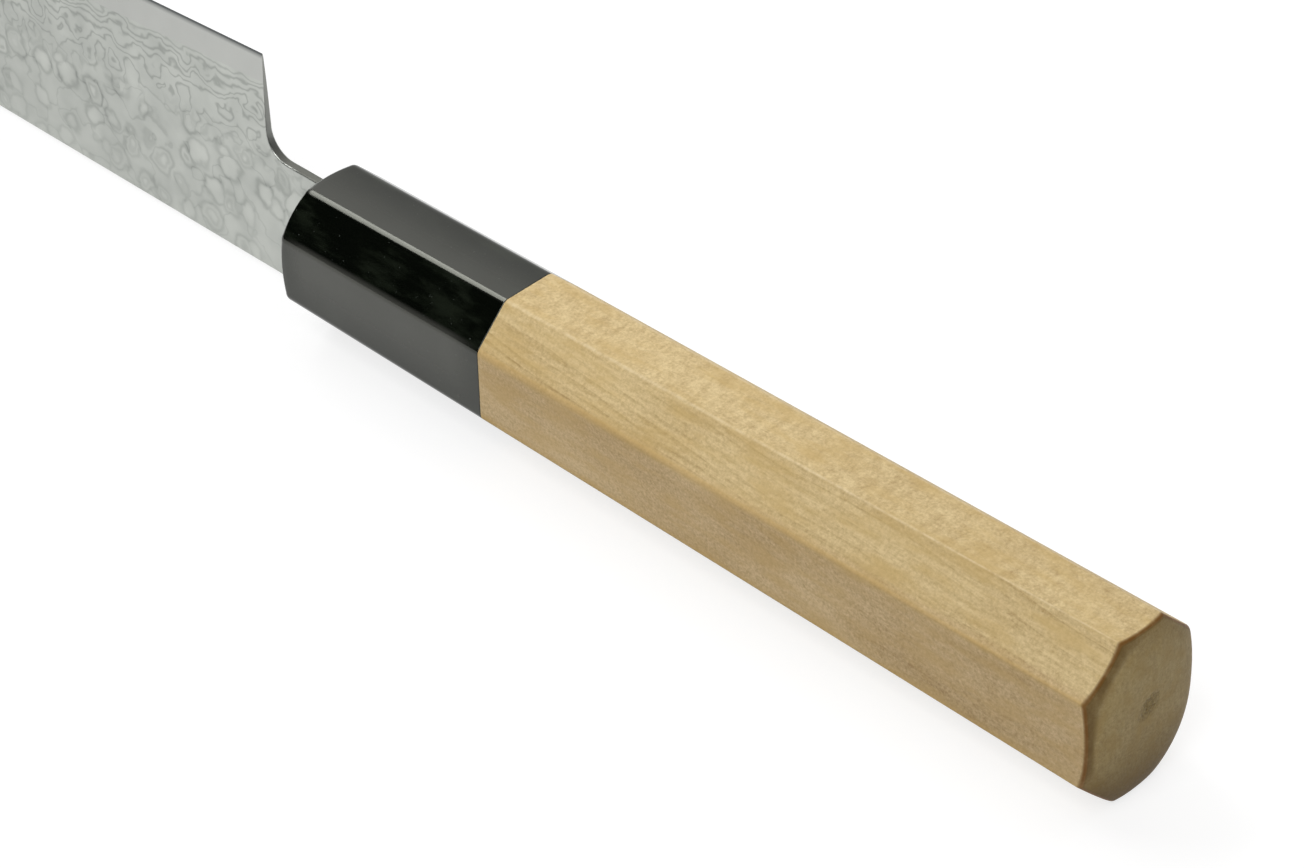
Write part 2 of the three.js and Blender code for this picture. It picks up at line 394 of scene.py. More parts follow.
horn = {
    "rim": (0.35 * mm, 0.9 * mm),  # rounding of the front, mid facet and at an arris
    "rimReach": 1.2 * mm,  # the straight barrel ends this far behind the front
    "barrelRings": 24,
    "rimRings": 10,
    "faceShares": (0.02, 0.3, 0.6, 0.9, 1),  # rings on the front face, from the rim in to the slot
    "slotLip": 0.1 * mm,  # the slot's walls stand straight this far
    "black": (0.0006, 0.0014, 0.0005, 1),
    "streak": (0.0085, 0.0115, 0.0070, 1),
    "speck": (0.07, 0.08, 0.07, 1),
    "paintedSheen": (0.0480, 0.0485, 0.0425, 1),  # painted sheen: lighter grey painted on the top and on the flanks for the light they mirror
    "gloss": (0.75, 0.77, 0.665, 1),  # colour of what it mirrors
    "roughness": 0.16,
    "index": 1.57,
    "relief": (0.25, 0.25 * mm),  # strength and height
    # how often a figure changes in a millimetre along, across and up the handle
    "streaks": (0.13, 0.42, 0.42),
    "hairs": (0.35, 9.0, 9.0),
    "dust": 3.0,
    "swell": 0.11,
    # where the painted sheen fades, in millimetres from the axis and from the front
    "topEdge": (3.5, 4.1),
    "topFade": (3.6, -3.6),
    "flankEdge": (7.9, 8.4),
    "flankFade": (-5.5, 2.5),
    "frontFade": (0.0, 5.0),
    "jointFade": (35.0, 29.0),
}


def makeFerrule():
    # out along the octagon, over the front rim, in to the slot, and back through slot and bore to the start
    boreX = tenonX - fit["boreEndGap"]
    slotWide = blade["heelThickness"] / 2 + fit["gap"]
    mouth = slot(slotWide, tangHalf(frontX) + fit["gap"])
    throat = slot(slotWide, tangHalf(boreX) + fit["gap"])
    bore = circle(fit["tenonRadius"] + fit["gap"])
    barrel = barrelRings(-1, frontX + horn["rimReach"], horn["barrelRings"])
    rim = rimRings(frontX, -1, horn["rim"], None, horn["rimRings"])
    frontFace = faceRings(rim[-1], handleRings(frontX, mouth), horn["faceShares"])
    inside = np.stack([
        handleRings(frontX + horn["slotLip"], mouth),
        handleRings(boreX, throat),
        handleRings(boreX, bore),
        handleRings(jointX, bore),
    ])
    rings = np.concatenate([barrel, rim, frontFace, inside])
    piece = addPiece("horn_ferrule", rings, ringQuads(len(rings), around, True), handle["sharpAngle"], {})
    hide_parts("ferrule")
    piece.data.materials.append(hornFinish())


def hornFinish():
    # black horn with faint streaks along it and a little dust, and painted sheen: lighter on the top and on
    # the flanks, fading low down the flanks and towards both ends
    material, f = startFinish("polished black horn")
    place = f.millimetres((frontX, 0, axisZ))
    x, y, z = f.split(place)
    streaks = f.ramp(f.figure(place, horn["streaks"], 4.0, 0.62), 0.46, 0.72)
    specks = f.ramp(f.noise(place, horn["dust"], 1.0, 0.3), 0.755, 0.82)
    hairs = f.figure(place, horn["hairs"], 2.0, 0.6)
    top = (1 - f.ramp(abs(y), *horn["topEdge"])) * f.ramp(y, *horn["topFade"])
    flank = f.ramp(abs(y), *horn["flankEdge"]) * f.ramp(z, *horn["flankFade"])
    flank = flank * f.ramp(x, *horn["frontFade"]) * f.ramp(x, *horn["jointFade"])
    # painted sheen on the top and the flanks, for the light they mirror
    paintedSheen = top * 0.8 + flank
    body = f.mix(paintedSheen, f.mix(streaks, horn["black"], horn["streak"]), horn["paintedSheen"])
    swell = f.noise(place, horn["swell"], 1.0, 0.4)  # the faces aren't quite flat
    f.surface({
        "Base Color": f.mix(specks * 0.7, body, horn["speck"]),
        "Roughness": horn["roughness"] + (hairs - 0.5) * 0.12,
        "IOR": horn["index"],
        "Specular Tint": horn["gloss"],
        "Normal": f.relief(swell * 2.0 + hairs * 0.004, *horn["relief"]),
    })
    return material


# Wooden grip

wood = {
    "rim": (0.4 * mm, 0.5 * mm),  # rounding of the butt, mid facet and at an arris
    "rimReach": 3 * mm,  # the straight barrel ends this far before the butt
    "barrelRings": 60,
    "rimRings": 15,
    "dome": (0.9 * mm, 6, 2.25),  # the butt's fall to mid facet, how late it begins, and its fullness
    "flatter": (1.0 * mm, 4, 2),  # the same on the corner between the top and the right side
    "cornerReach": 6 * mm,  # how far out from the axis that corner lies
    "flankFrom": 6,  # millimetres from the middle out to the arrises beside the flanks
    "arrisPower": 9,  # the more, the narrower the golden arrises
    "endFrom": 0.75,  # share of the rim's rounding past which it is end grain
    # brown burn on the butt's rim and painted shade just inside it, from 0 to 1, and how far in from the rim
    # it reaches
    "browning": 1.2,  # how late the rim browns over its rounding
    "rimShade": 0.38,  # painted shade just inside the rim
    "rimShadeFacing": 0.47,  # more on the right side and the chamfer above it
    "facingFrom": (0.2, 1.3),
    "edging": 0.42,  # the part of it that fades slowly
    "edgingFacing": 0.32,  # less on the right side and the chamfer above it
    "edgingLow": 0.35,  # more on the lower side
    "lowFrom": 0.6,
    "edgingReach": 2.5 * mm,
    "band": 0.5 * mm,  # the part of it that ends at once
    "bandArris": 0.45 * mm,
    "bandSlant": 0.4 * mm,
    # torn end grain in the middle of the butt
    "tornAt": (0.5 * mm, 0.85 * mm),  # from the axis
    "tornSize": (1.7 * mm, 1.6 * mm),  # half width and half height
    "tornLean": 0.35,  # how far it leans for its height
    "tornDepth": 0.14 * mm,
    "pits": 17,  # each way
    "pitShift": 0.05,  # how far a pit may be out of place, as a share of the patch
    "pitSize": (0.08 * mm, 0.11 * mm),
    "pitDepth": (0.5, 1.6),
    "seed": 7,
    # colours
    "pale": (0.745, 0.580, 0.305, 1),
    "deep": (0.415, 0.278, 0.112, 1),
    "honey": (0.580, 0.400, 0.150, 1),
    "golden": (0.600, 0.400, 0.140, 1),  # arrises beside the flanks
    "worn": (0.840, 0.690, 0.430, 1),  # arrises beside the top
    "burnish": (0.190, 0.082, 0.012, 1),  # outer half of the rim
    "burnFadingToShade": (0.148, 0.081, 0.014, 1),  # its inner half and the border of the butt: the burn going on into painted shade
    "plain": (1.0, 1.0, 1.0, 1),
    "rosy": (0.983, 0.962, 1.034, 1),  # what the flanks keep of the wood's colour
    "endGrain": (0.805, 0.790, 0.695, 1),  # what the butt's end keeps of it
    "endShadedLow": (0.360, 0.300, 0.125, 1),  # and low down: painted shade, darker towards the bottom of the butt
    "handTint": (1.03, 0.95),  # from the joint to the butt
    "roughness": 0.56,
    "index": 1.45,
    "specular": 0.3,
    "relief": (0.35, 0.03 * mm),  # strength and height
    # growth rings, in millimetres
    "ringWidth": 0.66,
    "ringLean": 0.036,  # how far they run across the axis
    "ringTilt": 0.10,  # and across the height
    "ringDrift": 4.0,
    # how often a figure changes in a millimetre along, across and up the handle
    "drift": (0.020, 0.10, 0.10),
    "breaks": (0.045, 1.3, 1.3),
    "fibre": (0.9, 4.4, 4.4),
    "rays": (1.0, 0.60, 3.0),
    "strands": (0.06, 1.5, 1.5),
    "cloud": (0.06, 0.16, 0.16),
    "patches": (0.12, 0.45, 0.45),
    "nicks": (0.6, 0.1, 0.1),
    "sawn": (1.0, 1.6, 0.12),
    "specks": 2.8,
    "smears": 0.5,
    # how strongly it deepens the colour: on the top, and what the chamfers and the flanks add
    "fibreShown": (0.20, 0.60, 0),
    "strandsShown": (0, 0.72, 0),
    "raysShown": (-1.30, 0.80, 0.51),
    "specksShown": (-1.60, 0.30, -0.29),
    "cloudShown": (0.5, 0, 0.6),
    # painted light: level gives the chamfers less of the deep colour, so they are painted lighter for how the
    # light falls on them
    "level": (0.38, -0.09, 0),
    "topEdge": (2.8, 4.6),  # millimetres from the middle
    "flankEdge": (7.8, 8.5),
}


def buttFall(section):
    # the butt's dome, blending into a flatter one over the corner between the top and the right side
    towards = np.clip(section * (-1, 1) / wood["cornerReach"] + 0.5, 0, 1)
    share = np.prod(towards, -1)
    return domeFall(section, wood["dome"]) * (1 - share) + domeFall(section, wood["flatter"]) * share


def tornGrain(y, z):
    # a leaning patch of torn end grain: many small pits in rows and columns, all a little out of place, each
    # a bell in depth, under a flat bell that fades them out round the patch
    draw = np.random.default_rng(wood["seed"])
    spread = np.linspace(-1, 1, wood["pits"])
    places = np.stack(np.meshgrid(spread, spread), -1).reshape(-1, 2)
    pits = (places + draw.uniform(-wood["pitShift"], wood["pitShift"], places.shape)) * wood["tornSize"]
    size = draw.uniform(*wood["pitSize"], len(pits))
    depth = draw.uniform(*wood["pitDepth"], len(pits))
    up = z - wood["tornAt"][1]
    across = y - wood["tornAt"][0] - wood["tornLean"] * up
    gap = (across[..., None] - pits[:, 0]) ** 2 + (up[..., None] - pits[:, 1]) ** 2
    rough = np.tanh(np.sum(depth * np.exp(-gap / size ** 2), -1))
    share = (across / wood["tornSize"][0]) ** 2 + (up / wood["tornSize"][1]) ** 2
    return wood["tornDepth"] * rough * np.exp(-share ** 3)


def rimBrowningAndShade(steps, inwards):
    # brown burn on the rim, going on inside it as painted shade
    # over the rounding it rises and falls again by a sine, and from there inwards one part of it goes on as
    # a band, by a flat bell, and the other fades away
    outward = buttSection * (-1, 1) / wood["cornerReach"]
    slant = np.prod(np.clip(outward, 0, 1), -1)  # 1 on the chamfer between the top and the right side
    facing = np.prod(np.clip(outward + wood["facingFrom"], 0, 1), -1)  # 1 there and on the right side
    low = np.clip(-outward[:, 1] - wood["lowFrom"], 0, 1)
    edging = wood["edging"] - wood["edgingFacing"] * facing + wood["edgingLow"] * low
    rimShade = np.maximum(wood["rimShade"] + wood["rimShadeFacing"] * facing, edging)
    angle = np.linspace(0, math.pi, steps)[:, None]
    rising = np.sin(angle) ** wood["browning"]
    falling = rimShade + (1 - rimShade) * np.sin(angle)
    band = wood["band"] + wood["bandArris"] * arch + wood["bandSlant"] * slant
    overRim = np.where(angle < math.pi / 2, rising, falling)
    held = (rimShade - edging) * np.exp(-(inwards / band) ** 4)
    faded = edging * np.exp(-inwards / wood["edgingReach"])
    return np.concatenate([overRim, held + faded])


def makeGrip():
    # from the end of the tang's channel out to the tenon, along the octagon to the butt, and in to a pole
    wall = fit["beddingWall"] + 2 * fit["gap"]
    channelX = tangEndX + wall
    channelWide = blade["heelThickness"] / 2 + wall
    inner = slot(channelWide, tangHalf(tangEndX) + wall)
    outer = slot(channelWide, tangHalf(tenonX) + wall)
    tenon = circle(fit["tenonRadius"])
    inside = np.stack([
        handleRings(channelX, inner * 0),
        handleRings(channelX, inner),
        handleRings(tenonX, outer),
        handleRings(tenonX, tenon),
        handleRings(jointX, tenon),
    ])
    barrel = barrelRings(1, buttX - wood["rimReach"], wood["barrelRings"])
    rim = rimRings(buttX, 1, wood["rim"], buttFall, wood["rimRings"])
    # rings across the butt: close inside the rim, wider apart, and close again over the torn grain
    shares = 1 - np.concatenate([
        np.linspace(0.985, 0.87, 6),
        np.linspace(0.83, 0.40, 9),
        np.linspace(0.38, 0, 48),
    ])
    pole = np.array([buttX, wood["tornAt"][0], axisZ + wood["tornAt"][1]])
    cap = faceRings(rim[-1], np.broadcast_to(pole, rim[-1].shape), shares)
    across = cap[..., 1:] - (0, axisZ)
    pits = tornGrain(across[..., 0], across[..., 1])
    cap[..., 0] = buttX - buttFall(across) - pits
    rings = np.concatenate([inside, barrel, rim, cap])
    # layers for the finish
    start = len(inside) + len(barrel)
    inwards = np.linalg.norm(rim[-1, :, 1:] - (0, axisZ), axis=-1) - np.linalg.norm(across, axis=-1)
    brownedAndShaded, ends, torn = np.zeros((3, *rings.shape[:2]))
    brownedAndShaded[start:] = rimBrowningAndShade(len(rim), inwards)
    ends[start + int(wood["endFrom"] * len(rim)):] = 1
    torn[start + len(rim):] = pits / wood["tornDepth"]
    besideFlank = np.clip(np.abs(rings[..., 1]) / mm - wood["flankFrom"], 0, 1)
    layers = {
        "rim": brownedAndShaded,
        "endGrain": ends,
        "torn": torn,
        "arris": arch ** wood["arrisPower"] * besideFlank * (1 - ends),
        "ridge": crest * (1 - besideFlank) * (1 - ends),
    }
    piece = addPiece("wooden_grip", rings, ringQuads(len(rings), around, False), handle["sharpAngle"], layers)
    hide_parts("handle_body")
    piece.data.materials.append(woodFinish())


def woodFinish():
    # the fibres run along X, the rays across it along Y, and the growth rings stand square to Y
    material, f = startFinish("pale magnolia wood")
    place = f.millimetres((jointX, 0, axisZ))
    x, y, z = f.split(place)
    drift = f.figure(place, wood["drift"])
    ring = (y + z * wood["ringTilt"] + x * wood["ringLean"] + drift * wood["ringDrift"]) / wood["ringWidth"]
    phase = ring.maths("FRACT", ring)
    year = f.node("ShaderNodeTexWhiteNoise", {"noise_dimensions": "1D"}, {"W": ring.maths("FLOOR", ring)})
    broken = f.ramp(f.figure(place, wood["breaks"]), 0.32, 0.56)
    late = f.ramp(phase, 0.30, 0.90) * (1 - f.ramp(phase, 0.90, 1.0))  # late wood darkens and ends at once
    late = late * broken * (0.25 + year * year * 0.75)
    across = abs(y)
    flank = f.ramp(across, *wood["flankEdge"])
    chamfer = f.ramp(across, *wood["topEdge"], 0.10, 1.0) * (1 - flank * 0.7)  # most marked by the rings
    fibre = f.figure(place, wood["fibre"], 3.0, 0.65) - 0.5
    rays = f.figure(place, wood["rays"], 2.0, 0.55) - 0.5
    specks = f.noise(place, wood["specks"], 3.0, 0.7) - 0.5
    strands = f.figure(place, wood["strands"]) - 0.5
    cloud = f.figure(place, wood["cloud"]) - 0.5
    ends = f.layer("endGrain")

    def shown(name):
        # how strongly a figure shows on each of the facets
        onTop, onChamfers, onFlanks = wood[name]
        return onTop + chamfer * onChamfers + flank * onFlanks

    # share of the deep colour
    share = late * chamfer * (0.66 - ends * 0.58)
    share = share + fibre * shown("fibreShown") + strands * shown("strandsShown")
    share = share + rays * shown("raysShown") * (1 - ends * 0.75) + specks * shown("specksShown")
    # painted light: the level makes the chamfers lighter
    share = share + cloud * shown("cloudShown") + shown("level")
    honey = f.ramp(f.figure(place, wood["patches"], 3.0, 0.6), 0.38, 0.72) * 0.60
    body = f.mix(honey, f.mix(share, wood["pale"], wood["deep"]), wood["honey"])
    body = f.vectors("MULTIPLY", body, f.mix(flank, wood["plain"], wood["rosy"]))
    nicks = f.ramp(f.figure(place, wood["nicks"], 3.0, 0.7), 0.30, 0.62, 0.2, 1.0)
    body = f.mix(f.layer("ridge") * nicks * 0.50, body, wood["worn"])
    body = f.mix(f.layer("arris") * 0.50, body, wood["golden"])
    body = f.tint(body, f.ramp(x, 0.0, 95.0, *wood["handTint"]))
    # the butt: greyed end grain with painted shade low down, sawn across, painted shade in the torn pits, and
    # browned round its rim with painted shade just inside it
    greyedAndShaded = f.mix(f.ramp(z, -12.0, -1.0), wood["endShadedLow"], wood["endGrain"])
    sawn = f.figure(place, wood["sawn"], 2.0, 0.6) - 0.5
    cut = f.tint(f.vectors("MULTIPLY", body, greyedAndShaded), 1 + sawn * 0.16)
    # painted shade: the deeper a torn pit, the darker the end grain there
    grip = f.mix(ends, body, f.tint(cut, 1 - f.layer("torn") * 0.45))
    # brown burn round the rim and painted shade just inside it, broken up by smears
    brownedAndShaded = f.layer("rim") * f.ramp(f.noise(place, wood["smears"], 3.0, 0.6), 0.25, 0.62, 0.80, 1.0)
    height = fibre * 1.2 - late * 0.4 + rays * 0.8 + specks * 0.8
    f.surface({
        "Base Color": f.mix(brownedAndShaded, grip, f.mix(ends, wood["burnish"], wood["burnFadingToShade"])),
        "Roughness": wood["roughness"] + fibre * 0.3,
        "IOR": wood["index"],
        "Specular IOR Level": wood["specular"],
        "Normal": f.relief(height, *wood["relief"]),
    })
    return material


# Blade

blade = {
    "length": 150 * mm,
    "spineBelowAxis": 9.9 * mm,
    "spinePitch": 0.0065,  # the spine leans away from the edge
    "edgePitch": 0.055,  # the edge leans towards the spine
    "bellyPower": 4,
    "pointDrop": 5 * mm,
    "straightSpine": 88 * mm,
    "dropPower": 2.2,
    "neckHeight": 15 * mm,
    "choilRadius": 3.5 * mm,
    "notchLength": 3.5 * mm,
    "notchRadius": 1.2 * mm,
    "tangRounding": 2 * mm,
    "heelThickness": 1.7 * mm,
    "pointThickness": 0.75 * mm,
    "pointThinning": 4 * mm,
    "coreThickness": 0.52 * mm,
    "bevelHeight": 0.35 * mm,
    "bevelThickness": 0.18 * mm,
    "bevelBow": 0.35,
    "bevelDark": 0.6,  # how dark the bevel's painted reflection is at its upper line
    "spineEase": 0.25 * mm,
    "choilEase": 0.22 * mm,
    "easeShare": 0.6,  # the most of the thickness that an easing takes
    "pointShare": 0.25,  # the neck's border is dulled and painted darker this far in, a painted shade over its glint
    "dullReach": 0.2 * mm,  # the neck's border is dull this far in
    "dullFrom": 4.3 * mm,  # and from here behind the heel
    "dullFade": 1.5 * mm,
    # columns of the grid, from the tang's end to the point
    "tangEndColumns": 7,
    "tangColumns": 14,
    "neckColumns": 5,
    "filletColumns": 18,
    "easeColumns": (0.06, 0.16, 0.3, 0.5, 0.75, 1, 1.6),  # in shares of choilEase
    "edgeColumns": 130,
    "coreSharpAngle": 9,
    "claddingSharpAngle": 32,
}
heelX = pointX + blade["length"]
notchX = frontX - blade["notchLength"]
neckZ = axisZ + blade["neckHeight"] / 2
coreHalf = blade["coreThickness"] / 2

# rows of the grid, counted in strips: whole numbers are the lines between them
bladeRows = np.concatenate([
    [0, 0.02, 0.05, 0.09, 0.15, 0.21, 0.27, 0.5],
    [1, 1.5, 2, 2.25, 2.5, 2.75, 3, 3.3, 3.6, 3.8, 3.88, 3.93, 3.96, 3.98, 3.993],
    np.linspace(4, 5, 9)[:-1],
    np.linspace(5, 6, 9)[:-1],
    np.linspace(6, 7, 5),
])
coreStrip = 5  # from here to the edge the core is bare


def bladeAt(x, *names):
    # the spine falls and the edge sweeps up by powers of the distance ahead of the heel
    u = np.maximum(heelX - x, 0)
    length = blade["length"]
    share = u / length
    spineHeel = axisZ - blade["spineBelowAxis"]
    line = spineHeel - blade["spinePitch"] * u
    fall = np.maximum(u - blade["straightSpine"], 0) / (length - blade["straightSpine"])
    spine = line + blade["pointDrop"] * fall ** blade["dropPower"]
    heelHeight = heelZ - spineHeel
    sweep = heelHeight - blade["edgePitch"] * length - blade["pointDrop"]
    edge = line + heelHeight - blade["edgePitch"] * u - sweep * share ** blade["bellyPower"]
    edge = np.maximum(edge, spine)
    height = edge - spine
    full = blade["heelThickness"] + (blade["pointThickness"] - blade["heelThickness"]) * share
    thickness = full * (1 - np.exp(-height / blade["pointThinning"]))
    found = {
        "spine": spine,
        "edge": edge,
        "thickness": thickness,
        "bevel": np.minimum(blade["bevelHeight"], blade["pointShare"] * height),
        "behind": np.minimum(blade["bevelThickness"], blade["pointShare"] * thickness) / 2,
        "ease": np.minimum(blade["spineEase"], blade["pointShare"] * np.minimum(height, thickness)),
    }
    return [found[name] for name in names or found]


def halfThickness(x, z):
    # half the section is a parabola from the bevel to its crown at the spine, and a slightly bowed bevel
    spine, edge, thickness, bevel, behind, ease = bladeAt(x)
    face = np.maximum(edge - bevel - spine - ease, tiny)
    up = np.clip((edge - bevel - z) / face, 0, 1)
    ground = behind + (thickness / 2 - behind) * (1 - (1 - up) ** 2)
    tip = np.clip((edge - z) / np.maximum(bevel, tiny), 0, 1)
    bow = blade["bevelBow"]
    return np.where(z > edge - bevel, behind * ((1 + bow) * tip - bow * tip ** 2), ground)


def coreLine(x):
    # where the ground face is as thick as the core, found by turning the parabola round
    spine, edge, thickness, bevel, behind, ease = bladeAt(x)
    share = (coreHalf - behind) / np.maximum(thickness / 2 - behind, tiny)
    up = 1 - np.sqrt(1 - np.clip(share, 0, 1))
    return edge - bevel + (spine + ease - edge + bevel) * up


def roundOff(distance, radius):
    # how far a quarter round draws the face in, at a distance from the border
    radius = np.maximum(radius, tiny)
    t = 1 - np.clip(distance / radius, 0, 1)
    return radius * (1 - np.sqrt(1 - t ** 2))


def bladeColumns():
    # places along the blade from the tang's end to the point, closer where the outline turns
    quarter = np.linspace(0, math.pi / 2, blade["filletColumns"])
    rounding = tangEndX - blade["tangRounding"] * np.linspace(0, 1, blade["tangEndColumns"]) ** 2
    tang = np.linspace(rounding[-1], frontX, blade["tangColumns"])[1:]
    notch = notchX + blade["notchRadius"] * (1 - np.sin(quarter[::3]))
    neck = np.linspace(notchX, heelX + blade["choilRadius"], blade["neckColumns"])
    fillet = heelX + blade["choilRadius"] * (1 - np.sin(quarter))
    eased = heelX - blade["choilEase"] * np.array(blade["easeColumns"])
    u = blade["length"] * np.sin(np.linspace(0, math.pi / 2, blade["edgeColumns"]))
    # the cladding ends where the whole blade is as thin as the core, found by trying many places
    tried = np.linspace(0, blade["length"], 6000)
    [thickness] = bladeAt(heelX - tried, "thickness")
    cladEnd = heelX - tried[np.argmin(thickness / 2 > coreHalf)]
    columns = np.concatenate([rounding, tang, notch, neck, fillet, eased, heelX - u[2:], [heelX, cladEnd]])
    return np.unique(np.round(columns, 9))[::-1], cladEnd


def bladeLevels(x):
    # lines along the blade between strips: sole, lower shoulder, tang, upper shoulder, choil, bare core and
    # bevel; ahead of the heel those behind it run on at even shares between spine and core
    spine, edge, bevel = bladeAt(x, "spine", "edge", "bevel")
    core = coreLine(x)
    half = np.where(x > frontX, tangHalf(x), tangHalf(frontX))
    back = np.clip((x - tangEndX + blade["tangRounding"]) / blade["tangRounding"], 0, 1)
    half = half * np.sqrt(1 - back)
    radius = blade["choilRadius"]
    cave = np.clip(heelX + radius - x, 0, radius)
    top = neckZ + radius - np.sqrt(radius ** 2 - cave ** 2)
    small = blade["notchRadius"]
    dent = np.clip(notchX + small - x, 0, small)
    sole = axisZ - blade["neckHeight"] / 2 - small + np.sqrt(small ** 2 - dent ** 2)
    levels = np.stack([spine, sole, axisZ - half, axisZ + half, top, core, edge - bevel, edge])
    heel = np.argmin(np.abs(x - heelX))
    upToCore = slice(coreStrip + 1)
    share = (levels[upToCore, heel] - spine[heel]) / (core[heel] - spine[heel])
    onBlade = x <= heelX
    levels[upToCore, onBlade] = spine[onBlade] + share[:, None] * (core - spine)[onBlade]
    return levels


def bladeGrid():
    # heights between the lines at every column, which strips are there, and where the cladding ends
    x, cladEnd = bladeColumns()
    levels = bladeLevels(x)
    strip = np.minimum(bladeRows.astype(int), len(levels) - 2)
    z = levels[strip] + (levels[strip + 1] - levels[strip]) * (bladeRows - strip)[:, None]
    starts = np.array([notchX, frontX, tangEndX, frontX, heelX, heelX, heelX])
    cells = x[None, :-1] <= starts[strip[:-1]][:, None] + tiny
    return np.broadcast_to(x, z.shape), z, cells, cladEnd


def cutBorder(cells, x):
    # 1 on the sawn border of choil, neck and tang, where only some of the cells round a point are there
    padded = np.pad(cells, 1).astype(float)
    count = padded[:-1, :-1] + padded[1:, :-1] + padded[:-1, 1:] + padded[1:, 1:]
    return ((count > 0) & (count < 4) & (x > heelX - tiny)).astype(float)


def fromChoil(x, z):
    # distance in from the heel, the neck's upper side and the round fillet between them
    radius = blade["choilRadius"]
    middleX = heelX + radius
    middleZ = neckZ + radius
    fillet = np.hypot(x - middleX, z - middleZ) - radius
    return np.where(z > middleZ, heelX - x, np.where(x > middleX, neckZ - z, fillet))


def makeCore(x, z, cells):
    # as thick as the middle layer, and thinner where the grind lays it bare
    spine, edge, bevel, ease = bladeAt(x, "spine", "edge", "bevel", "ease")
    half = halfThickness(x, z)
    eased = half - roundOff(z - spine, np.minimum(ease, blade["easeShare"] * half))
    skin = np.stack([x, np.minimum(eased, coreHalf), z], -1)
    # painted reflection: the bevel is painted dark for the dark room it mirrors
    onBevel = z > edge - 1.01 * bevel
    dark = np.clip(blade["bevelDark"] + (z - edge + bevel) / np.maximum(bevel, tiny), 0, 1) * onBevel
    sawn = cutBorder(cells, x)
    layers = {"bevel": np.stack([dark, dark]), "cut": np.stack([sawn, sawn])}
    points = np.stack([skin, skin * (1, -1, 1)])
    core = addPiece("steel_core", points, slabQuads(cells), blade["coreSharpAngle"], layers)
    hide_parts("blade_core")
    core.data.materials.append(steelFinish("plain core steel", True))


def makeCladding(x, z, cells):
    # from the core's plane out to the ground face, its borders eased
    spine, thickness, ease = bladeAt(x, "spine", "thickness", "ease")
    half = halfThickness(x, z)
    toChoil = fromChoil(x, z)
    room = blade["easeShare"] * np.maximum(half - coreHalf, 0)
    outer = half - roundOff(z - spine, np.minimum(ease, room))
    outer = outer - roundOff(toChoil, np.minimum(blade["choilEase"], room))
    outer = np.maximum(outer, coreHalf)
    behindHeel = np.clip((x - heelX - blade["dullFrom"]) / blade["dullFade"], 0, 1)
    # painted shade: the neck's eased border is darkened to hide its glint
    dulledAndShaded = np.exp(-(toChoil / blade["dullReach"]) ** 2) * behindHeel
    sawn = np.maximum(cutBorder(cells, x), dulledAndShaded)
    depth = np.clip((half - coreHalf) / np.maximum(thickness / 2 - coreHalf, tiny), 0, 1)
    layers = {"cut": np.stack([sawn, sawn]), "depth": np.stack([depth, depth])}
    quads = slabQuads(cells)
    sharp = blade["claddingSharpAngle"]
    for side, name, node in ((-1, "right", "blade_cladding_right"), (1, "left", "blade_cladding_left")):
        skin = np.stack([x, side * outer, z], -1)
        flat = np.stack([x, np.full_like(x, side * coreHalf), z], -1)
        piece = addPiece("layered_cladding_" + name, np.stack([skin, flat]), quads, sharp, layers)
        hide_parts(node)
        piece.data.materials.append(steelFinish("layered cladding steel " + name, False))


def makeBlade():
    x, z, cells, cladEnd = bladeGrid()
    makeCore(x, z, cells)
    rows = np.sum(bladeRows <= coreStrip)
    columns = np.sum(x[0] >= cladEnd - tiny)
    makeCladding(x[:rows, :columns], z[:rows, :columns], cells[:rows - 1, :columns - 1])


steel = {
    "bright": (0.557, 0.573, 0.536, 1),
    "grey": (0.428, 0.445, 0.416, 1),
    "etched": (0.246, 0.262, 0.242, 1),
    "core": (0.480, 0.488, 0.465, 1),
    # painted reflection: the bevel's near black stands for the dark room it mirrors
    "bevel": (0.105, 0.112, 0.112, 1),
    "cut": (0.165, 0.168, 0.150, 1),  # the sawn border, on the neck: a darker sawn finish with painted shade
    "cutHigh": (0.420, 0.430, 0.405, 1),  # and up at the heel, painted lighter for the light its face mirrors
    "roughness": 0.36,
    "relief": (0.15, 0.02 * mm),  # strength and height
    "graining": (0.5, 6.0, 9.0),  # how often it changes in a millimetre along, across and up the blade
    "layers": 7.6,  # dark lines from the bare core up to the spine
    "steepness": 0.38,  # share of the cladding in which most of them lie
    "lineDepth": 0.52,
    "dropDepth": 0.50,
    "dropsFrom": (0.45, 0.80),  # where lines give way to drops, in shares of the cladding's thickness
    "sideShift": (61.0, 17.0),  # millimetres that keep the two faces from being alike
    "bend": (0.32, 3.0),  # how often the whole figure bends in a millimetre, and by how many millimetres
    "swirl": (0.20, 4.0),  # how often the lines wander in a millimetre, and by how many layers
    "ripple": (0.48, 1.5),
    "wander": (0.24, 0.52, 0.020),  # the same for lines between the drops, and the level and width of these
    # drops hammered into the billet
    "drop": 4.6,  # millimetres between them, and the next sizes are shares of that
    "dropRadius": (0.20, 0.24),  # the least, and what chance adds
    "outline": 0.080,  # half width of a drop's outline
    "shade": (0.18, 0.28),  # half width and strength of the soft shade round it
    "second": 0.45,  # a double drop's inner outline, as a share of its radius
}


